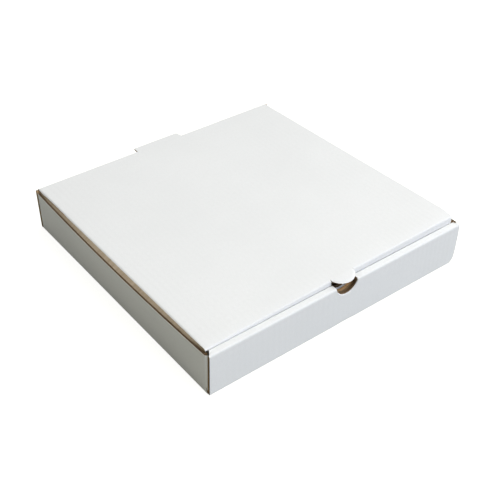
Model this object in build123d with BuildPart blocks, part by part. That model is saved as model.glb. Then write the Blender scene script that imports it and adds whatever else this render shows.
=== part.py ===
from build123d import *
from math import asin, cos, sin, hypot, sqrt
import os

os.makedirs("parts", exist_ok=True)

# A pizza box folded from one sheet of corrugated board. The frame stands on the table:
# the origin is the middle of the underside, +Z is up and -Y is the front. Millimetres.

# The sheet
board = 3.0                 # thickness of the board
fold_radius = 2.5           # outside radius of a folded edge
floor_fold_radius = 1.5     # the folds round the floor are sharper
play = 0.15                 # gap between layers that are folded face to face
run_gap = 0.3               # gap that keeps the lid clear of the tray

# The tray
width = 313.0               # outside, across the side walls
depth = 316.0               # outside, front wall to back wall
side_height = 45.2          # raw top of the side walls and the back wall
front_height = 46.3         # top of the rolled front wall
side_bow = 2.8              # how far the side walls' tops bulge out at mid-length
front_inset = 0.6           # raw ends of the front wall, in from the side walls
left_end_lean = 1.3         # how much further in its left end stands at the top
strip_slant_left = 3.2      # how far the rolled layer's raw ends draw in past the corner folds
strip_slant_right = 0.0
front_ear = 92.0            # side-wall ears that are trapped in the front wall
rear_ear = 78.0             # side-wall ears behind the back wall
ear_corner = 9.0            # rounding of the ears' free corners
ear_drop = 0.4              # how far the ears stay below what covers them

# Lock tabs of the rolled front wall, in slots through the floor
lock_width = 38.0
lock_spacing = 176.0
lock_gap = 0.4

# Finger notch in the front wall, and the thumb tab over it
pull_shift = 3.0            # both sit a little right of the middle
notch_width = 26.4
notch_depth = 11.4
thumb_width = 28.5
thumb_reach = 12.5          # from the tuck flap's outer face
thumb_droop = 2.0           # how far the tab's tip hangs below the panel
thumb_gap = 0.6             # kerf round the half-moon that the tab leaves in the flap

# The lid
lid_inset = 2.7             # sides of the lid, in from the side walls' outer faces
rise_left = 0.0             # how far the lid's front edge springs up, left, middle and right
rise_middle = 3.8
rise_right = 6.0
flap_height = 36.0          # tuck flap, from the lid's top
flap_lean = 2.5             # how far the flap's lower edge leans back
flap_inset = 4.8            # the flap's ends, in from the side walls' outer faces
flap_shift = 1.2
flap_straight = 14.0        # the flap's ends run straight down for this, then taper
flap_taper = 7.0            # how much the flap narrows at each end of its lower edge
flap_corner = 12.0
rear_tab_width = 59.0
rear_tab_reach = 7.5        # how far the tab stands out behind the back wall
rear_tab_corner = 3.5

# Tabs are pressed thinner by this on each face
crush = 0.1

# Places that follow from the sizes
half = board / 2
layer = board + play
roll = 2 * layer + board
side_x = width / 2
corner_x = side_x - board - 2 * play
lid_width = width - 2 * lid_inset
flap_width = width - 2 * flap_inset
back_y = depth / 2
front_y = -back_y
ear_y = front_y + layer
roll_y = front_y + roll
wall_run = depth - 2 * layer - 2 * board
hinge_y = back_y - half
hinge_z = side_height + run_gap + half
flap_y = roll_y + run_gap
reach = hinge_y - flap_y
swing = hypot(rear_tab_reach + half, half)
slot_bottom = hinge_z - swing - run_gap

with BuildPart() as tray:
    # Floor: two crossed bands with rounded lower edges, so that it stops short at the corners
    with BuildSketch(Plane.YZ) as band:
        Rectangle(depth, board, align=(Align.CENTER, Align.MIN))
        fillet(band.vertices().group_by(Axis.Y)[0], radius=floor_fold_radius)
    extrude(amount=side_x, both=True)
    with BuildSketch(Plane.XZ) as band:
        Rectangle(width, board, align=(Align.CENTER, Align.MIN))
        fillet(band.vertices().group_by(Axis.Y)[0], radius=floor_fold_radius)
    extrude(amount=back_y - layer, both=True)

    # Front wall: up, over a flat strip, and down again, with room for the ears between the layers
    with BuildSketch(Plane.YZ):
        with BuildLine():
            Polyline(
                (front_y, board),
                (front_y, front_height),
                (roll_y, front_height),
                (roll_y, board + play),
                (roll_y - board, board + play),
                (roll_y - board, front_height - board),
                (front_y + board, front_height - board),
                (front_y + board, board),
                close=True,
            )
        make_face()
    extrude(amount=side_x, both=True)
    roll_edges = tray.edges().group_by(Axis.Z)[-1].filter_by(Axis.X)
    fillet(roll_edges, radius=fold_radius)

    # Raw ends of the front wall: the strip and the inner layer draw in past the corner folds
    past_x = side_x + 1
    past_y = roll_y + 1
    for side, end_lean, slant in ((-1, left_end_lean, strip_slant_left), (1, 0, strip_slant_right)):
        strip_end = corner_x - slant
        low_x = side_x - front_inset
        high_x = low_x - end_lean
        with BuildSketch(Plane.XZ.offset(-ear_y)):
            Polygon(
                (side * low_x, -1),
                (side * high_x, front_height + 1),
                (side * past_x, front_height + 1),
                (side * past_x, -1),
                align=None,
            )
        extrude(amount=layer + 1, mode=Mode.SUBTRACT)
        with BuildSketch(Plane.XY.offset(front_height - board)):
            Polygon(
                (side * high_x, front_y),
                (side * corner_x, ear_y - play),
                (side * strip_end, roll_y),
                (side * strip_end, past_y),
                (side * past_x, past_y),
                (side * past_x, front_y),
                align=None,
            )
        extrude(amount=board + 1, mode=Mode.SUBTRACT)
        with BuildSketch(Plane.XY.offset(board)):
            Polygon(
                (side * corner_x, ear_y),
                (side * strip_end, roll_y),
                (side * strip_end, past_y),
                (side * past_x, past_y),
                (side * past_x, ear_y),
                align=None,
            )
        extrude(amount=front_height - 2 * board, mode=Mode.SUBTRACT)

    # Back wall, a single layer with raw ends
    with BuildSketch(Plane.XY.offset(board)):
        with Locations((0, hinge_y)):
            Rectangle(width, board)
    extrude(amount=side_height - board)

    # Side walls: straight at the floor, bulging out at the top
    for side in (-1, 1):
        outer_x = side * side_x
        inner_x = side * (side_x - board)
        bow = side * side_bow
        with BuildSketch(Plane.XY.offset(board)):
            with Locations(((inner_x + outer_x) / 2, 0)):
                Rectangle(board, wall_run)
        with BuildSketch(Plane.XY.offset(side_height)):
            with BuildLine():
                ThreePointArc((outer_x, -wall_run / 2), (outer_x + bow, 0), (outer_x, wall_run / 2))
                Line((outer_x, wall_run / 2), (inner_x, wall_run / 2))
                ThreePointArc((inner_x, wall_run / 2), (inner_x + bow, 0), (inner_x, -wall_run / 2))
                Line((inner_x, -wall_run / 2), (outer_x, -wall_run / 2))
            make_face()
        loft()

    # Corner folds of the side walls, and the ears that turn in behind the front and back walls
    for side in (-1, 1):
        for end, ear_length, ear_top in (
            (-1, front_ear, front_height - board - ear_drop),
            (1, rear_ear, side_height - ear_drop),
        ):
            fold_x = side * side_x
            fold_y = -end * ear_y
            with BuildSketch(Plane.XY.offset(board)) as corner:
                with Locations((fold_x - side * half, fold_y - end * half)):
                    Rectangle(board, board)
                fillet(corner.vertices().sort_by_distance((fold_x, fold_y))[0], radius=fold_radius)
            extrude(amount=side_height - board)
            with BuildSketch(Plane.XZ.offset(-fold_y)) as ear:
                root_x = fold_x - side * board
                tip_x = fold_x - side * ear_length
                Polygon(
                    (root_x, board + play),
                    (tip_x, board + play),
                    (tip_x, ear_top),
                    (root_x, ear_top),
                    align=None,
                )
                fillet(ear.vertices().sort_by(Axis.X, reverse=side < 0)[:2], radius=ear_corner)
            extrude(amount=end * board)

    # Slots in the floor, and the lock tabs of the inner layer that stand in them
    for lock_x in (-lock_spacing / 2, lock_spacing / 2):
        with BuildSketch():
            with Locations((lock_x, roll_y - half)):
                Rectangle(lock_width + 2 * lock_gap, board + 2 * lock_gap)
        extrude(amount=board, mode=Mode.SUBTRACT)
        with BuildSketch(Plane.XY.offset(lock_gap)):
            with Locations((lock_x, roll_y - half)):
                Rectangle(lock_width, board - 2 * crush)
        extrude(amount=board + 1)

    # Finger notch: a segment of a circle through both layers, and straight across the strip
    with BuildSketch(Plane.XZ.offset(-roll_y - 1)):
        with BuildLine():
            ThreePointArc(
                (pull_shift - notch_width / 2, front_height),
                (pull_shift, front_height - notch_depth),
                (pull_shift + notch_width / 2, front_height),
            )
            Polyline(
                (pull_shift + notch_width / 2, front_height),
                (pull_shift + notch_width / 2, front_height + 1),
                (pull_shift - notch_width / 2, front_height + 1),
                (pull_shift - notch_width / 2, front_height),
            )
        make_face()
    extrude(amount=roll + 2, mode=Mode.SUBTRACT)

    # Slot that the lid's rear tab was cut from, and swings through
    with BuildSketch(Plane.XZ.offset(-back_y - 1)):
        with Locations((0, slot_bottom)):
            Rectangle(
                rear_tab_width + 2 * run_gap,
                side_height + 1 - slot_bottom,
                align=(Align.CENTER, Align.MIN),
            )
    extrude(amount=board + 2, mode=Mode.SUBTRACT)

tray.part.label = "tray"
export_step(tray.part, "parts/tray.step")


def turned(rise):
    """Angle that the lid is turned up about its crease where its front edge springs up by rise."""
    return asin(rise / reach)


with BuildPart() as lid:
    # Panel and tuck flap: one profile across the crease, turned up a little more from left to right
    for x, rise in ((-lid_width / 2, rise_left), (0, rise_middle), (lid_width / 2, rise_right)):
        a = turned(rise)
        bend = fold_radius * (1 - sqrt(0.5))
        with BuildSketch(Plane((x, hinge_y, hinge_z), x_dir=(0, -cos(a), sin(a)), z_dir=(-1, 0, 0))):
            with BuildLine():
                ThreePointArc((0, -half), (-half, 0), (0, half))
                Line((0, half), (reach - fold_radius, half))
                ThreePointArc(
                    (reach - fold_radius, half),
                    (reach - bend, half - bend),
                    (reach, half - fold_radius),
                )
                Polyline(
                    (reach, half - fold_radius),
                    (reach - flap_lean, half - flap_height - 1),
                    (reach - flap_lean - board, half - flap_height - 1),
                    (reach - board, -half),
                    (0, -half),
                )
            make_face()
    loft()

    # Outline of the tuck flap: straight ends, then a taper, with rounded lower corners
    under = hinge_z - half
    low = hinge_z + half - flap_height
    left_x = flap_shift - flap_width / 2
    right_x = flap_shift + flap_width / 2
    with BuildSketch(Plane.XZ.offset(-flap_y - flap_lean - 2 * board)) as trim:
        Polygon(
            (left_x, under + rise_left),
            (left_x, under + rise_left - flap_straight),
            (left_x + flap_taper, low + rise_left),
            (right_x - flap_taper, low + rise_right),
            (right_x, under + rise_right - flap_straight),
            (right_x, under + rise_right),
            (lid_width, under + rise_right),
            (lid_width, low - board),
            (-lid_width, low - board),
            (-lid_width, under + rise_left),
            align=None,
        )
        flap_ends = trim.vertices().sort_by_distance((0, low))[:2]
        fillet(flap_ends, radius=flap_corner)
    extrude(amount=flap_lean + 3 * board, mode=Mode.SUBTRACT)

    # Half-moon that the thumb tab leaves in the flap
    tilt = (rise_right - rise_left) / lid_width
    pull_rise = rise_middle + tilt * pull_shift
    moon = thumb_width / 2 + thumb_gap
    with BuildSketch(Plane.XZ.offset(-flap_y - flap_lean - 2 * board)):
        with BuildLine():
            ThreePointArc(
                (pull_shift - moon, under + pull_rise - tilt * moon),
                (pull_shift, under + pull_rise - thumb_reach - thumb_gap),
                (pull_shift + moon, under + pull_rise + tilt * moon),
            )
            Line(
                (pull_shift + moon, under + pull_rise + tilt * moon),
                (pull_shift - moon, under + pull_rise - tilt * moon),
            )
        make_face()
    extrude(amount=flap_lean + 3 * board, mode=Mode.SUBTRACT)

    # Thumb tab: runs on from the panel at the fold and reaches out over the front wall, drooping
    root_reach = reach - fold_radius
    tab_reach = thumb_reach + fold_radius
    a = turned(pull_rise)
    droop = a - asin(thumb_droop / tab_reach)
    tab_root = (pull_shift, hinge_y - root_reach * cos(a), hinge_z + root_reach * sin(a))
    with BuildSketch(Plane(tab_root, x_dir=(1, 0, tilt), z_dir=(-tilt * cos(droop), sin(droop), cos(droop)))):
        with BuildLine():
            ThreePointArc(
                (-thumb_width / 2, -fold_radius),
                (0, -tab_reach),
                (thumb_width / 2, -fold_radius),
            )
            Polyline(
                (thumb_width / 2, -fold_radius),
                (thumb_width / 2, 0),
                (-thumb_width / 2, 0),
                (-thumb_width / 2, -fold_radius),
            )
        make_face()
    extrude(amount=half - crush, both=True)

    # Rear tab: in the panel's plane too, out through the slot behind the crease
    a = turned(rise_middle)
    with BuildSketch(Plane((0, hinge_y, hinge_z), x_dir=(1, 0, 0), z_dir=(0, sin(a), cos(a)))) as rear:
        Rectangle(rear_tab_width, half + rear_tab_reach, align=(Align.CENTER, Align.MIN))
        fillet(rear.vertices().sort_by(Axis.Y)[-2:], radius=rear_tab_corner)
    extrude(amount=half - crush, both=True)

lid.part.label = "lid"
export_step(lid.part, "parts/lid.step")
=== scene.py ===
import math

import bpy
import numpy as np
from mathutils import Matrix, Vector


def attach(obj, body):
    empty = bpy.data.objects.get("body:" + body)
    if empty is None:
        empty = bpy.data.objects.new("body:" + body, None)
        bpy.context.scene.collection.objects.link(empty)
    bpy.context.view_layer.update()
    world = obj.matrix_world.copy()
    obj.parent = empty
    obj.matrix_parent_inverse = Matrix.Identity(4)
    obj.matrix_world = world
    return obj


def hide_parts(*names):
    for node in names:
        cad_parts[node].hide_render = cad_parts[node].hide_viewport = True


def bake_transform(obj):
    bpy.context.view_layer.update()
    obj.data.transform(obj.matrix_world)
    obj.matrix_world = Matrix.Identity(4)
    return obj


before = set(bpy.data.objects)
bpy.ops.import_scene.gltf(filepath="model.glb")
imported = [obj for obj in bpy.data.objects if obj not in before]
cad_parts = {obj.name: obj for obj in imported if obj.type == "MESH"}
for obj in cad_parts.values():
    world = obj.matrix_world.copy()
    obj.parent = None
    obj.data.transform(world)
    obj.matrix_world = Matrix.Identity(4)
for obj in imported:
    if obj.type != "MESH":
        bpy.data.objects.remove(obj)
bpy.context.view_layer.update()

# A pizza box folded from one sheet of corrugated board. Every panel is the three papers that the
# board is made of: a white outer liner, a wavy fluting and a brown inner liner. Sizes are in
# millimetres here, and become metres when a piece is made.

# The sheet: its thickness, its liners, the pitch of its flutes and the fluting's own thickness
BOARD = 3.0
HALF = BOARD / 2
LINER = 0.3
FLUTE = 6.5
PAPER = 0.22

# The tray's outer faces and the heights of its walls
SIDE_X = 156.5
FRONT_Y, BACK_Y = -158.0, 158.0
SIDE_TOP = 45.2
FRONT_TOP = 46.3

# The side walls' bow, where it ends, and how far the right wall springs up at its front end
SIDE_BOW, BOW_END = 2.8, 151.85
SIDE_SPRING = 1.5

# Where the front wall's flat strip ends, and the layer that drops from it to the floor
STRIP_Y = -150.3
ROLL_Y = -148.7
ROLL_TOP = 41.6
INSIDE_FOOT = 3.15

# Shift of the front wall's flutes, as a share of one
FRONT_PHASE = 0.377

# Top of the side walls' folds at the floor
FOOT_TOP = 6

# The side walls' ears: outer face, lengths, heights and the radius of their corners
EAR_Y = 154.85
REAR_EAR, FRONT_EAR = 78, 92
REAR_EAR_TOP, FRONT_EAR_TOP = 44.8, 41.2
EAR_CORNER = 9

# The lock tabs' middles and half width, and the play that the floor's slots leave them
LOCK_X, LOCK = 88, 19
LOCK_PLAY = 0.4

# The slot in the back wall, and the shoulders that stand beside the lid's crease
SLOT = 29.8
SLOT_Z = 37.57
SHOULDER_X = 154.1
SHOULDER_Z = 47.2

# The finger notch, the half-moon in the flap behind it, and the thumb tab over them
PULL_X = 3.0
NOTCH, NOTCH_DEPTH = 13.2, 11.4
MOON, MOON_DEPTH = 14.1, 13.1
TAB, TAB_REACH, TAB_NECK = 13.7, 9.8, 2.5
TAB_DROOP = 1.2

# The lid's crease, how far the panel reaches from it, the panel's half width and its flutes' shift
HINGE_Y = 156.5
HINGE_Z = 47.0
REACH = 304.9
LID_X = 153.8
LID_PHASE = LID_X / FLUTE - 0.25

# The front edge's rise in the middle, and its slope and bend towards the sides
RISE, RISE_SLOPE, RISE_BEND = 3.8, 3.0, 0.8

# The front fold's bulge, and how far its right corner is bent down and rounded off
FOLD_SPRING = 2.3
CORNER_BEND, CORNER_ROUND = 0.6, 1.9

# The flap's ends, its width from the panel's outer face, and how far it leans back at its edge
FLAP_LEFT, FLAP_RIGHT = -152.8, 152.9
FLAP = 36
FLAP_LEAN = 2.5

# The flap's ends are straight for so long, then taper by so much to a corner of this radius
FLAP_STRAIGHT, FLAP_TAPER, FLAP_CORNER = 14, 7, 12

# The tab behind the crease: half width, length, corner radius, skew, and how far its ends are pressed
REAR_TAB = 29.5
REAR_TAB_LENGTH = 9.0
REAR_TAB_CORNER = 0.8
REAR_TAB_SKEW = 1.4
REAR_TAB_PRESS = 2.2

# The lid's crushed left edge: its start, its drop, what is added near the crease, and its lean out
CRUSH_X = -149.8
CRUSH_DOWN, CRUSH_MORE = 0.7, 0.9
CRUSH_OUT = 0.8

# Numbers of the raw edges' finishes in a piece's list, after its two faces. For the inner liner and
# fluting, NOTCH_RIM and WALL_RIM pick cut edges darkened with painted shade
RAW, NOTCH_RIM, INSIDE_RIM, WALL_RIM = 2, 3, 4, 5

# Steps of the lid's profile: the rear tab, the panel and the flap, with the rows of the front fold
LID_STEPS = [4, 24, 6, 6]
CREASE_ROW, FOLD_ROW = 4, 28
FLAP_ROW = FOLD_ROW + 5

# Light of the room
ROOM_LEVEL = 0.43
ROOM_LEAN = (0.74, -0.1, 0.31)
FLOOR_GLOW = 0.85


def ease(t):
    """Goes smoothly from 0 to 1 as t does: three t squared less two t cubed."""
    t = np.clip(t, 0, 1)
    return t * t * (3 - 2 * t)


def mixed(a, b, t):
    """Point at the share t of the way from a to b."""
    return a + (b - a) * t


def stations(marks, step):
    """Places from the first mark to the last that pass through every mark, at most a step apart."""
    runs = [np.linspace(a, b, max(1, math.ceil((b - a) / step)) + 1)[:-1]
            for a, b in zip(marks, marks[1:])]
    return np.concatenate(runs + [[marks[-1]]])


def bent_line(points, radii, steps, turns=5):
    """A line through the points, with straight runs of so many steps and each corner an arc of its
    radius. The arc starts and ends at the radius times the tangent of half the turn from its corner."""
    points = [np.array(p, float) for p in points]
    out, here = [points[0][None]], points[0]
    for k in range(1, len(points)):
        corner, radius = points[k], (list(radii) + [0])[k - 1]
        first = last = corner
        if radius:
            into = (corner - points[k - 1]) / np.linalg.norm(corner - points[k - 1])
            away = (points[k + 1] - corner) / np.linalg.norm(points[k + 1] - corner)
            turn = math.acos(np.clip(into @ away, -1, 1))
            cut_off = radius * math.tan(turn / 2)
            first, last = corner - into * cut_off, corner + away * cut_off
            centre = corner + (away - into) / np.linalg.norm(away - into) * radius / math.cos(turn / 2)
        out.append(here + np.linspace(0, 1, steps[k - 1] + 1)[1:, None] * (first - here))
        if radius:
            angle = np.linspace(0, turn, turns + 1)[1:, None]
            out.append(centre + (first - centre) * np.cos(angle) + into * radius * np.sin(angle))
        here = last
    return np.concatenate(out)


def run_of(line):
    """Distance along a line of points, from 0 at its first."""
    return np.concatenate([[0], np.cumsum(np.linalg.norm(np.diff(line, axis=0), axis=1))])


def arc_depth(x, reach, depth):
    """How far a circle's segment of that half width and depth goes in at x from its middle: the root
    of the radius squared less x squared, less what the radius has over the depth."""
    radius = (reach**2 + depth**2) / (2 * depth)
    return np.sqrt(np.maximum(radius**2 - x**2, 0)) - (radius - depth)


def shell(over, under, keep):
    """A closed thin sheet between two matching grids of points. The over side is a quad for each kept
    cell, the under side the same cells turned round, and a wall stands wherever a kept cell ends.
    Gives points, faces, which side each face is on, and each point's place in the grid."""
    n, m = over.shape[:2]
    at = np.arange(n * m).reshape(n, m)
    a, b, c, d = at[:-1, :-1][keep], at[1:, :-1][keep], at[1:, 1:][keep], at[:-1, 1:][keep]
    ring = np.stack([a, b, c, d], -1)
    near = np.pad(keep, 1)
    rims = [
        (keep & ~near[2:, 1:-1], at[1:, :-1], at[1:, 1:]),
        (keep & ~near[:-2, 1:-1], at[:-1, 1:], at[:-1, :-1]),
        (keep & ~near[1:-1, 2:], at[1:, 1:], at[:-1, 1:]),
        (keep & ~near[1:-1, :-2], at[:-1, :-1], at[1:, :-1]),
    ]
    p = np.concatenate([first[rim] for rim, first, _ in rims])
    q = np.concatenate([second[rim] for rim, _, second in rims])
    low = n * m
    walls = np.stack([q, p, p + low, q + low], -1)
    faces = np.concatenate([ring, ring[:, ::-1] + low, walls])
    side = np.repeat([0, 1, 2], [len(ring), len(ring), len(walls)])
    points = np.concatenate([over.reshape(-1, 3), under.reshape(-1, 3)])
    outward = np.cross(points[c] - points[a], points[d] - points[b])
    if np.sum(outward * (points[a] - points[a + low])) < 0:
        faces = faces[:, ::-1]
    used, faces = np.unique(faces, return_inverse=True)
    return points[used], faces.reshape(-1, 4), side, used % low


def papers(over, under, across, along, keep=None, phase=0.0, crushed=0.0, rim=RAW):
    """The three papers of a panel of board between its over and under grids. The liners are the
    outer tenths of its thickness, and the fluting's middle is half the thickness plus a sine of the
    distance across the flutes, as high as the liners leave room for. Where the board is crushed the
    fluting fills all the room between them. The rim is the number of its raw edges' finish."""
    keep = np.ones((over.shape[0] - 1, over.shape[1] - 1), bool) if keep is None else keep
    part = LINER / BOARD
    half = mixed(PAPER / BOARD / 2, 0.5 - part, crushed * np.ones(across.shape))
    wave = (0.5 + (0.5 - part - half) * np.sin(2 * np.pi * (across / FLUTE + phase)))[..., None]
    half = half[..., None]
    sheets = {
        "outer": (over, mixed(over, under, part)),
        "inner": (mixed(over, under, 1 - part), under),
        "fluting": (mixed(under, over, wave + half), mixed(under, over, wave - half)),
    }
    return {name: (top, low, keep, across, along, rim) for name, (top, low) in sheets.items()}


def rounded_off(distance, radius):
    """How much a round corner takes off at that distance from the end: the radius less the root of
    its square less the square of what is left of it there."""
    return radius - np.sqrt(np.maximum(radius**2 - np.maximum(radius - distance, 0) ** 2, 0))


def around_the_pull(reach, step):
    """Places across the notch, the half-moon or the tab, closer together near both ends, by a sine."""
    return PULL_X + reach * np.sin(stations([-1, 0, 1], min(step, 1.5) / reach) * np.pi / 2)


def carried(line, x):
    """A line of (y, z) points carried along x, as a grid of (x, y, z). x is one row or a whole grid."""
    x = np.broadcast_to(x, (len(line), np.shape(x)[-1]))
    y, z = [np.broadcast_to(line[:, k][:, None], x.shape) for k in range(2)]
    return np.stack([x, y, z], -1)


def stretched(line, run, places):
    """Points of a line at those distances along it. The run is the distance of each of its points."""
    return np.stack([np.interp(places, run, line[:, k]) for k in range(2)], -1)


def bow_share(y):
    """The side walls' bow along y: one less y over BOW_END squared, and never below nothing."""
    return np.maximum(1 - (y / BOW_END) ** 2, 0)


def bulged(grid):
    """The tray's side walls as they bow out: by a parabola along y and in proportion to height. It
    fades in from 150 to 153 either side of the middle, so that it leaves the floor as it is."""
    x, y, z = np.moveaxis(grid, -1, 0)
    bow = SIDE_BOW * np.clip((z - BOARD) / (SIDE_TOP - BOARD), 0, 1.1) * bow_share(y)
    return np.stack([x + bow * np.sign(x) * ease((np.abs(x) - 150) / 3), y, z], -1)


def tray_floor(step):
    """The floor, with the two slots for the lock tabs. Its inner face draws in towards the folds, in
    proportion to the distance past where it is free."""
    end_x, end_y = 154.5, 156.0
    free_x, free_y = 148, 152.5
    half_slot = LOCK + LOCK_PLAY
    slot_x = (LOCK_X - half_slot, LOCK_X + half_slot)
    slot_y = (-152.1, -148.3)
    x = stations([-end_x, -slot_x[1], -slot_x[0], *slot_x, end_x], step)
    y = stations([FRONT_Y + BOARD, *slot_y, end_y], 20)
    gx, gy = np.meshgrid(x, y)
    over = np.stack([gx, gy, 0 * gx], -1)
    inset = lambda v, free, end: v - np.sign(v) * HALF * np.clip((np.abs(v) - free) / (end - free), 0, 1)
    under = np.stack([inset(gx, free_x, end_x), inset(gy, free_y, end_y), 0 * gx + BOARD], -1)
    mid_x, mid_y = (x[1:] + x[:-1]) / 2, (y[1:] + y[:-1]) / 2
    slots = (((mid_y > slot_y[0]) & (mid_y < slot_y[1]))[:, None]
             & (np.abs(np.abs(mid_x) - LOCK_X) < half_slot)[None])
    return [papers(over, under, gx, gy, ~slots)]


def front_lines():
    """The front wall's outer and inner lines of (y, z): up from the floor, back over the flat strip
    and down again on the inside."""
    steps = [2, 16, 4, 2, 8]
    inner_y, inner_top = FRONT_Y + BOARD, FRONT_TOP - BOARD
    over = bent_line([(inner_y, 0), (FRONT_Y, 0), (FRONT_Y, FRONT_TOP), (STRIP_Y, FRONT_TOP),
                      (ROLL_Y, ROLL_TOP), (ROLL_Y, INSIDE_FOOT)], [0.4, 2.0, 2.2, 0], steps)
    under = bent_line([(-153.93, BOARD), (inner_y, BOARD), (inner_y, inner_top),
                       (STRIP_Y - BOARD, inner_top),
                       (ROLL_Y - BOARD, ROLL_TOP - 0.3), (ROLL_Y - BOARD, INSIDE_FOOT)],
                      [0.3, 0.4, 0.4, 0], steps)
    return over, under


def front_wall(step):
    """The front wall either side of the notch. Its outer layer ends at a distance from the middle
    that goes in straight lines from height to height, and over the strip from end to end."""
    over, under = front_lines()
    run = run_of(over)
    widest = 155.9
    left_end = ([0, FRONT_TOP], [widest, 154.6])
    right_end = ([0, 0.3, 0.9, 2, 3.6, 5.5, 8, 14, 22, 30, 37, 41, 44, FRONT_TOP],
                 [148.0, 149.3, 150.7, 152.1, 153.3, 154.1, 154.7, 155.3, 155.8, 156.1, 156.4, 156.4,
                  156.2, 155.8])
    panels = []
    for side, outline, strip_end in ((-1, left_end, 150.0), (1, right_end, 154.6)):
        end = np.interp(over[:, 0], [FRONT_Y, STRIP_Y], [outline[1][-1], strip_end])
        outside = np.arange(len(over)) < np.argmax(over[:, 1])
        end = np.where(outside, np.interp(over[:, 1], *outline), end)[:, None]
        inner_end = side * PULL_X + NOTCH
        x = stations([inner_end, 140, widest], step)
        x = side * (inner_end + (x - inner_end) * (end - inner_end) / (widest - inner_end))
        along = np.broadcast_to(run[:, None], x.shape)
        grids = [bulged(carried(line, x)) for line in (over, under)]
        panels.append(papers(*grids, x, along, None, FRONT_PHASE))
    return panels


def under_the_notch(step):
    """The front wall under the notch, and the inside layer under it. Each is the wall's line, from
    the floor to the notch's edge or from there to the foot, and the edge is a circle's segment. The
    outer layer's edge is bevelled, and the inside layer's is crushed."""
    over, under = front_lines()
    run = run_of(over)
    x = around_the_pull(NOTCH, step)
    edge = np.minimum(FRONT_TOP - arc_depth(x - PULL_X, NOTCH, NOTCH_DEPTH), FRONT_TOP - 0.05)
    rise = np.argmax(over[:, 1]) + 1
    stop = np.interp(edge, over[:rise, 1], run[:rise])
    fall = len(over) - np.argmax(over[::-1, 1])
    start = np.interp(-edge, -over[fall - 1:, 1], run[fall - 1:])
    outside = np.append(np.linspace(0, 0.97, 16), 1)[:, None]
    inside = np.linspace(0, 1, 15)[:, None]
    panels = []
    # The outer layer's rim takes NOTCH_RIM, a cut edge darkened with painted shade
    for share, first, last, crushed, rim in ((outside, 0 * x, stop, 0, NOTCH_RIM),
                                             (inside, start, 0 * x + run[-1], inside == 0, INSIDE_RIM)):
        places = first + share * (last - first)
        gx = np.broadcast_to(x, places.shape)
        grids = []
        for line in (over, under):
            at = stretched(line, run, places)
            grids.append(bulged(np.stack([gx, at[..., 0], at[..., 1]], -1)))
        if share is outside:
            grids[0][-1] = mixed(grids[0][-1], grids[1][-1], 0.25)
        panels.append(papers(*grids, gx, places, None, FRONT_PHASE, crushed, rim))
    return panels


def lock_tabs(step):
    """The two tabs at the foot of the inside layer, standing in the floor's slots."""
    z = np.array([INSIDE_FOOT, 1.6, 0.5])
    panels = []
    for middle in (-LOCK_X, LOCK_X):
        x = stations([middle - LOCK, middle + LOCK], step)
        grids = [carried(np.stack([0 * z + ROLL_Y - back, z], -1), x) for back in (0.1, BOARD - 0.1)]
        gx = np.broadcast_to(x, (len(z), len(x)))
        panels.append(papers(*grids, gx, 0 * gx + z[:, None], None, FRONT_PHASE))
    return panels


def back_wall(step):
    """The back wall: a line of (y, z) carried along x, less the slot that the lid's rear tab was cut
    from. Its shoulders stand up beside the lid and are pressed thin at the top."""
    steps = [1, 6, 2, 1]
    heights = (SLOT_Z, SIDE_TOP, SHOULDER_Z)
    over = bent_line([(156, 0), (BACK_Y, 0), *((BACK_Y, z) for z in heights)], [1.5, 0, 0], steps)
    under = bent_line([(154.5, BOARD), *((BACK_Y - BOARD, z) for z in (BOARD, SLOT_Z, SIDE_TOP)),
                       (156.6, SHOULDER_Z)], [0.4, 0, 0], steps)
    x = stations([-SIDE_X, -SHOULDER_X, -SLOT, SLOT, SHOULDER_X, SIDE_X], step)
    mid = np.abs((x[1:] + x[:-1]) / 2)[None]
    row = np.arange(len(over) - 1)[:, None]
    keep = (row < len(over) - 4) | (mid > SLOT) & (row < len(over) - 2) | (mid > SHOULDER_X)
    gx = np.broadcast_to(x, (len(over), len(x)))
    along = gx * 0 + run_of(over)[:, None]
    # Its raw edges take WALL_RIM, a cut edge darkened with painted shade
    return [papers(carried(over, x), carried(under, x), gx, along, keep, rim=WALL_RIM)]


def side_folds(step):
    """The side walls' folds at the floor: a bent line of (x, z) carried along y. They stop short of
    the ears above the floor. Their flutes run along y, so the step has no part in them."""
    inner_x = SIDE_X - BOARD
    over = bent_line([(154.5, 0), (SIDE_X, 0), (SIDE_X, FOOT_TOP)], [0.7], [1, 2])
    under = bent_line([(153.0, BOARD), (inner_x, BOARD), (inner_x, FOOT_TOP)], [0.4], [1, 2])
    y = np.linspace(-1, 1, 25) * np.where(over[:, 1] < 3.2, 154.95, 153.65)[:, None]
    run = np.broadcast_to(run_of(over)[:, None], y.shape)
    panels = []
    for side in (-1, 1):
        grids = [bulged(carried(line, y)[..., [1, 0, 2]] * [side, 1, 1]) for line in (over, under)]
        panels.append(papers(*grids, run, y))
    return panels


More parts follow.
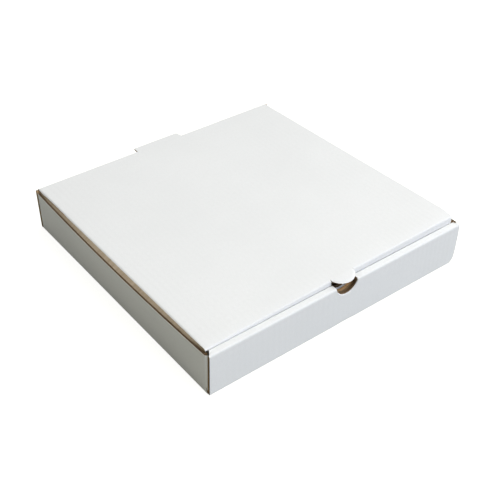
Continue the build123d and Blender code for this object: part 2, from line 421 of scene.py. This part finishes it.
def side_walls(step):
    """The side walls and their ears: a line in plan that turns in at both ends, carried up z. The
    ears' corners are round, the walls' lowest row is left to their folds, and the right wall springs
    up towards its front by an eased rise along y, in proportion to height squared."""
    foot = 3.05
    steps = [18, 25, 20]
    inner_x, inner_y = SIDE_X - BOARD, EAR_Y - BOARD
    over = bent_line([(SIDE_X - REAR_EAR, EAR_Y), (SIDE_X, EAR_Y), (SIDE_X, -EAR_Y),
                      (SIDE_X - FRONT_EAR, -EAR_Y)], [1.2, 3.0], steps)
    under = bent_line([(SIDE_X - REAR_EAR, inner_y), (inner_x, inner_y), (inner_x, -inner_y),
                       (SIDE_X - FRONT_EAR, -inner_y)], [0.4, 1.0], steps)
    run = run_of(over)
    z = np.concatenate([[foot], stations([FOOT_TOP, SIDE_TOP], min(step, 6))])
    wall = np.abs(over[:, 1]) < 153.7
    front = over[:, 1] < 0
    ear = over[:, 0] < SIDE_X - np.where(front, 2.4, 1.3)
    cut = rounded_off(np.minimum(run, run[-1] - run), EAR_CORNER)
    top = np.where(ear, np.where(front, FRONT_EAR_TOP, REAR_EAR_TOP), SIDE_TOP) - cut
    base = foot + cut
    gz = base[None] + (z[:, None] - foot) * (top - base) / (SIDE_TOP - foot)
    along = np.broadcast_to(run[None], gz.shape)
    keep = ~((z[1:] < FOOT_TOP + 0.1)[:, None] & (wall[1:] & wall[:-1])[None])
    spring = SIDE_SPRING * ease((-122 - over[:, 1]) / 27) * ease((over[:, 0] - 150) / 4)
    panels = []
    for side in (-1, 1):
        grids = []
        for line in (over, under):
            flat = np.broadcast_to(line[None], gz.shape + (2,))
            up = gz + (side > 0) * spring * (gz / SIDE_TOP) ** 2
            grids.append(bulged(np.stack([side * flat[..., 0], flat[..., 1], up], -1)))
        # Their raw edges take WALL_RIM, a cut edge darkened with painted shade
        panels.append(papers(*grids, gz, along, keep, -SIDE_TOP / FLUTE, rim=WALL_RIM))
    return panels


def raised(x, p, q):
    """Places on the lid: p from the crease towards the front and q up from the board's middle. The
    lid turns about its crease by the angle whose sine is the front edge's rise over the reach, and
    that rise is a quadratic across the box: 0 at the left, 3.8 in the middle and 6 at the right.
    Above the front wall's strip the front fold bulges forward by FOLD_SPRING, and its right corner
    is bent down by CORNER_BEND."""
    u = x / LID_X
    turn = np.arcsin((RISE + RISE_SLOPE * u - RISE_BEND * u * u) / REACH)
    z = HINGE_Z + p * np.sin(turn) + q * np.cos(turn)
    q = q - CORNER_BEND * ease((x - 130) / 23.8) * ease((p - 285) / 20)
    p = p + FOLD_SPRING * ease((p - 240) / 60) * ease((z - 42) / 4.6)
    y = HINGE_Y - p * np.cos(turn) + q * np.sin(turn)
    return np.stack([x, y, HINGE_Z + p * np.sin(turn) + q * np.cos(turn)], -1)


def lid_lines():
    """The lid's outer and inner lines of (p, q), from the rear tab's end over the panel and down the
    flap, which leans back in proportion to q."""
    low = HALF - FLAP
    lines = []
    for up, front, radius in ((HALF, REACH, 1.9), (-HALF, REACH - BOARD, 0.4)):
        points = [(-REAR_TAB_LENGTH, up), (0, up), (front, up),
                  (front - FLAP_LEAN * (HALF + 8) / FLAP, -8), (front - FLAP_LEAN, low)]
        lines.append(bent_line(points, [0, radius, 0], LID_STEPS))
    return lines


def panel_and_flap(step):
    """The lid's panel with its rear tab, and the flap: lines of p and q carried along x. The flap's
    rows are shortened to its outline and the tab's to its round corners. The front right corner is
    drawn in by an eased power of one and a half. The left edge's outer face turns down by the fifth
    power of the share of the crushed width, and its inner face leans out as far as the wall bows."""
    over, under = lid_lines()
    run = run_of(over)
    low = HALF - FLAP

    # Places across the lid, closer together near its two edges and at the rear tab's left end
    fine, margin = min(step, 1.2), 16
    x = np.unique(np.concatenate([
        stations([-LID_X, FLAP_LEFT, CRUSH_X, FLAP_LEFT + margin], fine / 2),
        stations([FLAP_LEFT + margin, -REAR_TAB, 1 - REAR_TAB, PULL_X - MOON, PULL_X + MOON,
                  REAR_TAB - 1, REAR_TAB, FLAP_RIGHT - margin], step),
        np.array([0.35, 0.65]) - REAR_TAB,
        stations([FLAP_RIGHT - margin, FLAP_RIGHT, LID_X], fine),
    ]).round(5))
    mid = ((x[1:] + x[:-1]) / 2)[None]
    row = np.arange(len(over) - 1)[:, None]
    keep = (row >= CREASE_ROW) | (np.abs(mid) < REAR_TAB)
    keep &= (row < FOLD_ROW) | (np.abs(mid - PULL_X) > MOON)
    keep &= (row < FLAP_ROW) | (mid > FLAP_LEFT) & (mid < FLAP_RIGHT)

    # The flap's outline at its ends, and what the rear tab's corners take off
    outline = bent_line([(0, -HALF - FLAP_STRAIGHT), (FLAP_TAPER, low), (200, low)], [FLAP_CORNER],
                        [4, 4], 8)
    end = np.interp(np.minimum(x - FLAP_LEFT, FLAP_RIGHT - x), outline[:, 0], outline[:, 1])
    corner = (rounded_off(np.maximum(x + REAR_TAB, 0), REAR_TAB_CORNER)
              + rounded_off(np.maximum(REAR_TAB - x, 0), REAR_TAB_CORNER))
    grids = []
    for line in (over, under):
        p, q = [np.repeat(line[:, k][:, None], len(x), 1) for k in range(2)]
        flap = (np.arange(len(line)) >= FLAP_ROW)[:, None]
        first, top = line[FLAP_ROW]
        q_cut = top + (q - top) / (low - top) * (end - top)
        p = np.where(flap, first + (line[-1, 0] - first) * (q_cut - top) / (low - top), p)
        q = np.where(flap, q_cut, q)
        p = np.where(p < 0, p * (REAR_TAB_LENGTH - corner) / REAR_TAB_LENGTH, p)
        gx = x - REAR_TAB_SKEW * ease(x / REAR_TAB) * np.clip(-p / REAR_TAB_LENGTH, 0, 1)
        gx = gx - CORNER_ROUND * ease((p - 290) / 14) ** 1.5 * ease((x - 138) / 15)
        edge = np.clip((CRUSH_X - x) / 4.0, 0, 1) * (p > 0) * (p < REACH - BOARD)
        if line is under:
            out = CRUSH_OUT * ease((REACH - 4 - p) / 5) * ease((p - 2) / 12)
            gx = gx - (SIDE_BOW * bow_share(HINGE_Y - p) + out) * edge
            q = q + REAR_TAB_PRESS * ease(np.abs(x) - REAR_TAB + 1) * (p < 0)
        else:
            q = q - (CRUSH_DOWN + CRUSH_MORE * ease(1 - p / 90)) * edge ** 5
        grids.append(raised(gx, p, q))

    # The board is crushed over the last millimetre or so at its ends
    row = np.arange(len(over))[:, None]
    flap_crush = ease((FLAP_LEFT + 1.5 - x) / 1.5) + ease((x - FLAP_RIGHT + 1.5) / 1.5)
    panel_crush = ease((-151.4 - x) / 1.2) + (row < CREASE_ROW) * ease(np.abs(x) - REAR_TAB + 1.2)
    crushed = np.minimum(np.where(row >= FOLD_ROW, flap_crush, panel_crush), 1)
    gx = np.broadcast_to(x, p.shape)
    return papers(*grids, gx, gx * 0 + run[:, None], keep, LID_PHASE, crushed)


def half_moon_flap(step):
    """The flap under the half-moon: q goes from a circle's segment down to the flap's edge, closer
    together at the top by a power of one and a half, and p leans back in proportion to q."""
    x = around_the_pull(MOON, step)
    top = -HALF - arc_depth(x - PULL_X, MOON, MOON_DEPTH)
    share = np.linspace(0, 1, 14)[:, None] ** 1.5
    q = top + share * (HALF - FLAP - top)
    gx = np.broadcast_to(x, q.shape)
    grids = [raised(gx, REACH - back - FLAP_LEAN * (HALF - q) / FLAP, q) for back in (0, BOARD)]
    return papers(*grids, gx, q, None, LID_PHASE)


def thumb_tab(step):
    """The thumb tab: a circle's segment that stands out from the front fold, droops by a power of
    1.3 of the distance out, and is pressed to half its thickness within 3 of its rim."""
    over, under = lid_lines()
    x = around_the_pull(TAB, step)
    end = TAB_NECK + arc_depth(x - PULL_X, TAB, TAB_REACH)
    share = 1 - (1 - np.linspace(0, 1, 14)[:, None]) ** 1.6
    out = share * end
    gx = np.broadcast_to(x, out.shape)
    rim = np.minimum(end - out, np.maximum(TAB - np.abs(x - PULL_X), 0))
    thick = HALF * (0.5 + 0.5 * np.maximum(ease(rim / 3.0), 1 - ease(out / 4.0)))
    droop = TAB_DROOP * (out / 13.0) ** 1.3
    grids = [raised(gx, line[FOLD_ROW, 0] + out, up * thick - droop + (HALF - thick) * 0.3)
             for up, line in ((1, over), (-1, under))]
    return papers(*grids, gx, run_of(over)[FOLD_ROW] + out, None, LID_PHASE)


def tray_panels(step):
    """Every panel of the tray, with places across the flutes at most a step apart."""
    makers = (tray_floor, front_wall, under_the_notch, lock_tabs, back_wall, side_folds, side_walls)
    return [panel for make in makers for panel in make(step)]


def lid_panels(step):
    """Every panel of the lid, with places across the flutes at most a step apart."""
    return [make(step) for make in (panel_and_flap, half_moon_flap, thumb_tab)]


def adder(tree):
    """A quick way to add a node to a tree, with its settings and with links or values at its inputs."""
    def add(kind, inputs=(), **settings):
        node = tree.nodes.new(kind)
        for key, value in settings.items():
            setattr(node, key, value)
        for key, value in dict(inputs).items():
            if isinstance(value, bpy.types.NodeSocket):
                tree.links.new(value, node.inputs[key])
            else:
                node.inputs[key].default_value = value
        return node

    return add


def new_finish(name, roughness):
    """A new material with that roughness, and its tree and shader."""
    m = bpy.data.materials.new(name)
    m.use_nodes = True
    shader = m.node_tree.nodes["Principled BSDF"]
    shader.inputs["Roughness"].default_value = roughness
    return m, m.node_tree, shader


def paper_finish(name, dark, light, roughness, ribs=0.0, grain=0.3):
    """Paper: its colour wanders between two shades by its fibres, times clouds of a few centimetres
    plus 0.4. Its surface is ribbed once a flute by a sine of the distance across the flutes, with a
    fine grain."""
    m, tree, shader = new_finish(name, roughness)
    add = adder(tree)
    shader.inputs["Specular IOR Level"].default_value = 0.3
    place = add("ShaderNodeTexCoord").outputs["Object"]
    sheet = add("ShaderNodeUVMap", uv_map="sheet").outputs[0]
    cloud = add("ShaderNodeTexNoise", {"Vector": place, "Scale": 14.0, "Detail": 3.0})
    stretch = add("ShaderNodeMapping", {"Vector": sheet, "Scale": (1400.0, 260.0, 1.0)})
    strands = add("ShaderNodeTexNoise", {"Vector": stretch.outputs[0], "Scale": 1.0, "Detail": 4.0})
    weighed = add("ShaderNodeMath", {0: strands.outputs[0], 1: 0.4}, operation="MULTIPLY")
    both = add("ShaderNodeMath", {0: cloud.outputs[0], 1: strands.outputs[0], 2: weighed.outputs[0]},
               operation="MULTIPLY_ADD")
    ramp = add("ShaderNodeValToRGB", {"Fac": both.outputs[0]})
    for stop, position, shade in zip(ramp.color_ramp.elements, (0.3, 0.7), (dark, light)):
        stop.position, stop.color = position, (*shade, 1)
    tree.links.new(ramp.outputs[0], shader.inputs["Base Color"])
    across = add("ShaderNodeSeparateXYZ", {0: sheet}).outputs[0]
    turns = add("ShaderNodeMath", {0: across, 1: 2 * math.pi * 1000 / FLUTE}, operation="MULTIPLY")
    rib = add("ShaderNodeMath", {0: turns.outputs[0]}, operation="SINE").outputs[0]
    ribbed = add("ShaderNodeBump", {"Height": rib, "Strength": ribs, "Distance": 0.00012}).outputs[0]
    fine = add("ShaderNodeTexNoise", {"Vector": place, "Scale": 900.0, "Detail": 3.0}).outputs[0]
    grained = add("ShaderNodeBump", {"Height": fine, "Strength": grain, "Distance": 0.0002,
                                     "Normal": ribbed})
    tree.links.new(grained.outputs[0], shader.inputs["Normal"])
    return m


white = paper_finish("white_clay_liner", (0.815, 0.825, 0.815), (0.86, 0.87, 0.86), 0.62, 0.12, 0.15)
kraft = paper_finish("brown_kraft_liner", (0.43, 0.29, 0.165), (0.49, 0.34, 0.20), 0.85, 0.4)
fluting = paper_finish("brown_fluting", (0.29, 0.20, 0.12), (0.38, 0.275, 0.175), 0.9)
cut = paper_finish("cut_edge", (0.45, 0.355, 0.24), (0.58, 0.475, 0.34), 0.9)
# Cut edge darkened with painted shade, for the walls' tops, where the flute hollows and the lid's
# overhang are in shade
shaded_cut = paper_finish("cut_edge_of_walls_painted_shade", (0.18, 0.13, 0.075), (0.26, 0.19, 0.11), 0.9)
# Cut edge darkened with painted shade, for the notch's outer edge, whose inner liner and fluting lie in
# the tab's shadow
notch_cut_painted_shade = paper_finish("cut_edge_in_shade", (0.15, 0.095, 0.05), (0.22, 0.14, 0.08), 0.9)
warm_cut = paper_finish("cut_edge_of_brown_paper", (0.58, 0.36, 0.17), (0.68, 0.44, 0.23), 0.9)
pale_cut = paper_finish("cut_edge_of_white_liner", (0.56, 0.51, 0.42), (0.70, 0.65, 0.56), 0.9)


def made(name, sheets, finishes):
    """One piece from many sheets of paper, in metres. Its map is the distances across and along the
    board, and its finishes are those of the two faces and then of the raw edges."""
    points, faces, paint, flat, count = [], [], [], [], 0
    for over, under, keep, across, along, rim in sheets:
        p, f, side, at = shell(over, under, keep)
        points.append(p)
        faces.append(f + count)
        paint.append(np.where(side == RAW, rim, side))
        flat.append(np.stack([np.ravel(across)[at], np.ravel(along)[at]], -1))
        count += len(p)
    points, flat = np.concatenate(points) / 1000, np.concatenate(flat) / 1000
    faces = np.concatenate(faces)
    mesh = bpy.data.meshes.new(name)
    mesh.vertices.add(len(points))
    mesh.vertices.foreach_set("co", points.astype(np.float32).ravel())
    mesh.loops.add(faces.size)
    mesh.loops.foreach_set("vertex_index", faces.astype(np.int32).ravel())
    mesh.polygons.add(len(faces))
    mesh.polygons.foreach_set("loop_start", np.arange(0, faces.size, 4, dtype=np.int32))
    mesh.update(calc_edges=True)
    sheet = mesh.uv_layers.new(name="sheet")
    sheet.data.foreach_set("uv", flat[faces.ravel()].astype(np.float32).ravel())
    for finish in finishes:
        mesh.materials.append(finish)
    mesh.polygons.foreach_set("material_index", np.concatenate(paint).astype(np.int32))
    mesh.polygons.foreach_set("use_smooth", np.ones(len(faces), bool))
    mesh.set_sharp_from_angle(angle=math.radians(35))
    mesh.validate()
    piece = bpy.data.objects.new(name, mesh)
    bpy.context.scene.collection.objects.link(piece)
    return piece


for body, build in (("tray", tray_panels), ("lid", lid_panels)):
    coarse, fine = build(7.0), build(FLUTE / 8)
    # Raw edges of the inner liner and fluting: plain cut, cut with painted shade at the notch, brown cut
    # inside it, and cut with painted shade on the walls' tops
    edges = [cut, notch_cut_painted_shade, warm_cut, shaded_cut]
    liner = made(body + "_outer_liner", [p["outer"] for p in coarse],
                 [white, kraft, pale_cut, pale_cut, warm_cut, pale_cut])
    inner = made(body + "_inner_liner", [p["inner"] for p in coarse], [kraft, kraft, *edges])
    core = made(body + "_fluting", [p["fluting"] for p in fine], [fluting, fluting, *edges])
    for piece in (liner, inner, core):
        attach(piece, body)
    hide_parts(body)


def crease_skin(name, outer, inner, finish):
    """Paper bent round the crease on both sides of the rear tab: the (y, z) line on its outer face
    and the matching one on its inner face, carried along x."""
    sheets = []
    for a, b in ((-LID_X, -REAR_TAB), (REAR_TAB, LID_X)):
        x = stations([a, b], 12)
        gx = np.broadcast_to(x, (len(outer), len(x)))
        along = gx * 0 + run_of(outer)[:, None]
        keep = np.ones((len(outer) - 1, len(x) - 1), bool)
        sheets.append((carried(outer, x), carried(inner, x), keep, gx, along, RAW))
    piece = made(name, sheets, finish)
    return piece


def round_the_crease(start, end, radius):
    """Points on an arc about the crease, between two angles from straight back, at those radii."""
    angle = np.radians(np.linspace(start, end, 13))
    radius = np.linspace(*radius, 13)
    return np.stack([HINGE_Y + radius * np.cos(angle), HINGE_Z + radius * np.sin(angle)], -1)


# The white liner bends over the back wall's top, and the brown one folds behind the lid's edge
foot = np.array([(BACK_Y, SIDE_TOP), (BACK_Y, 46.1)])
inside_radius = HALF - LINER
outer = np.concatenate([foot, round_the_crease(0, 90, (HALF, HALF))])
inner = np.concatenate([foot - (LINER, 0), round_the_crease(0, 90, (inside_radius, inside_radius))])
outside = crease_skin("crease_outside", outer, inner, [white, kraft, pale_cut])
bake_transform(outside)
inside = crease_skin("crease_inside", round_the_crease(-90, 42, (HALF, 1.12)),
                     round_the_crease(-90, 42, (inside_radius, 0.9)), [kraft, kraft, kraft])
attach(inside, "lid")


def show(tree, lit, shown, output):
    """Sends one shader to a tree's output, and another where the camera or a gloss ray meets it."""
    add = adder(tree)
    path = add("ShaderNodeLightPath").outputs
    seen = add("ShaderNodeMath", {0: path["Is Camera Ray"], 1: path["Is Glossy Ray"]},
               operation="MAXIMUM")
    both = add("ShaderNodeMixShader", {0: seen.outputs[0], 1: lit, 2: shown})
    tree.links.new(both.outputs[0], tree.nodes[output].inputs[0])


# A pale floor that glows to the camera, so that it is white but for the box's shadow
floor_mesh = bpy.data.meshes.new("floor")
floor_mesh.from_pydata([(-6, -6, 0), (6, -6, 0), (6, 6, 0), (-6, 6, 0)], [], [(0, 1, 2, 3)])
floor = bpy.data.objects.new("floor", floor_mesh)
floor.location.z = -0.0002
bpy.context.scene.collection.objects.link(floor)
pale, tree, shader = new_finish("pale_floor", 0.9)
shader.inputs["Base Color"].default_value = (0.41, 0.41, 0.35, 1)
floor_mesh.materials.append(pale)
add = adder(tree)
glow = add("ShaderNodeEmission", {"Strength": FLOOR_GLOW})
bright = add("ShaderNodeAddShader", {0: shader.outputs[0], 1: glow.outputs[0]})
show(tree, shader.outputs[0], bright.outputs[0], "Material Output")

# A soft room, brighter overhead and to the right. Its strength is ROOM_LEVEL plus the direction
# looked in times ROOM_LEAN, and never below nothing. The camera sees an even pale grey instead
world = bpy.data.worlds.new("studio")
bpy.context.scene.world = world
world.use_nodes = True
tree = world.node_tree
add = adder(tree)
way = add("ShaderNodeTexCoord")
along = add("ShaderNodeVectorMath", {0: way.outputs["Generated"], 1: ROOM_LEAN}, operation="DOT_PRODUCT")
level = add("ShaderNodeMath", {0: along.outputs["Value"], 1: ROOM_LEVEL}, operation="ADD")
above = add("ShaderNodeMath", {0: level.outputs[0], 1: 0.0}, operation="MAXIMUM")
room = tree.nodes["Background"]
room.inputs["Color"].default_value = (1.0, 1.0, 1.0, 1)
tree.links.new(above.outputs[0], room.inputs["Strength"])
plain = add("ShaderNodeBackground", {"Strength": 1.0})
show(tree, room.outputs[0], plain.outputs[0], "World Output")


def lamp(name, place, target, size, power, colour):
    """A soft square lamp that looks at a point."""
    data = bpy.data.lights.new(name, "AREA")
    data.size, data.energy, data.color = size, power, colour
    item = bpy.data.objects.new(name, data)
    item.location = place
    item.visible_camera = False
    item.rotation_mode = "QUATERNION"
    item.rotation_quaternion = (Vector(target) - Vector(place)).to_track_quat("-Z", "Y")
    bpy.context.scene.collection.objects.link(item)


# A lamp overhead, a bluish one low in front and a weak warm one on the left
lamp("key_lamp", (0.5, -0.7, 1.36), (0, 0, 0), 0.9, 11.9, (1.0, 1.0, 1.0))
lamp("front_lamp", (0.3, -2.4, 0.25), (0, 0, 0.03), 0.4, 6.1, (0.22, 0.40, 1.0))
lamp("left_lamp", (-0.62, -0.42, 0.3), (-0.15, -0.1, 0), 0.25, 0.24, (1.0, 0.95, 0.75))

# The camera that took the photo, fitted to the box's straight edges
cam = bpy.data.cameras.new("camera")
cam.lens, cam.sensor_width = 63.94, 36
camera = bpy.data.objects.new("camera", cam)
bpy.context.scene.collection.objects.link(camera)
azimuth, elevation = math.radians(-37.55), math.radians(37.81)
flat = math.cos(elevation)
back = Vector((math.sin(azimuth) * flat, -math.cos(azimuth) * flat, math.sin(elevation)))
camera.location = (-0.4544, -0.6039, 0.5767)
camera.rotation_mode = "QUATERNION"
camera.rotation_quaternion = (-back).to_track_quat("-Z", "Y")
bpy.context.scene.camera = camera
bpy.context.scene.view_settings.view_transform = "Standard"
